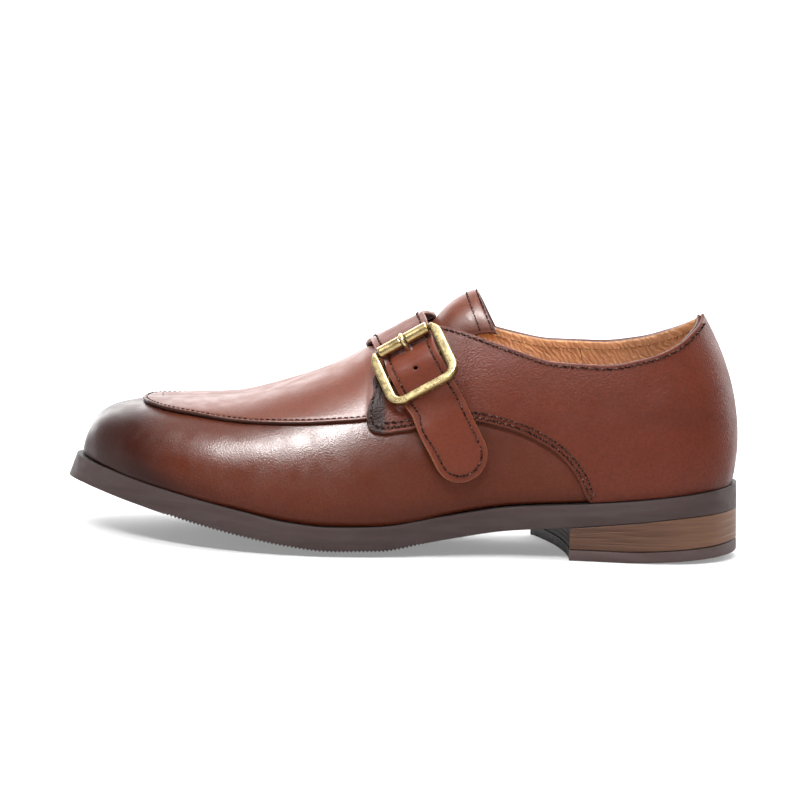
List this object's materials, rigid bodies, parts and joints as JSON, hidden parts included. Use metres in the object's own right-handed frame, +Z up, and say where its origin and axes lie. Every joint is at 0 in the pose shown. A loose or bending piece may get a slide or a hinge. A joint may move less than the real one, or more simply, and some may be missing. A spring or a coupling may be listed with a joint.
{
  "type": "monk strap loafer",
  "caption": "Left low-heeled leather shoe with an apron front, a rolled tongue and a buckled strap over the instep, on a ribbed rubber sole",
  "frame": {"origin": "on the floor, at the middle of the shoe's length and width", "axes": "+X points from the toe to the heel, +Y to the shoe's inner side, +Z up; the toe is at -X"},
  "size_m": [0.262, 0.0906, 0.0993],
  "materials": {
    "sole_rubber": "matt moulded grey-brown rubber",
    "top_lift_rubber": "matt moulded grey-brown rubber, worn at the back",
    "stacked_heel": "stacked heel, fine layers, stained brown",
    "insole_leather": "natural tan lining leather",
    "vamp_leather": "polished chestnut leather, burnished darker at the toe",
    "apron_leather": "polished chestnut leather",
    "quarter_leather": "polished chestnut leather",
    "strap_leather": "polished chestnut leather with a lighter cut edge",
    "chape_leather": "dark brown leather",
    "antique_brass": "antique brass, worn bright on its flats"
  },
  "bodies": {
    "root": {"outsole": "sole_rubber", "heel_stack": "stacked_heel", "top_lift": "top_lift_rubber", "insole": "insole_leather", "upper": "vamp_leather", "apron": "apron_leather", "quarter_lateral": "quarter_leather", "quarter_medial": "quarter_leather", "tongue": "apron_leather", "monk_strap": "strap_leather", "buckle_chape": "chape_leather", "buckle_frame": "antique_brass", "roller_front": "antique_brass", "roller_rear": "antique_brass", "prong": "antique_brass"}
  },
  "joints": []
}
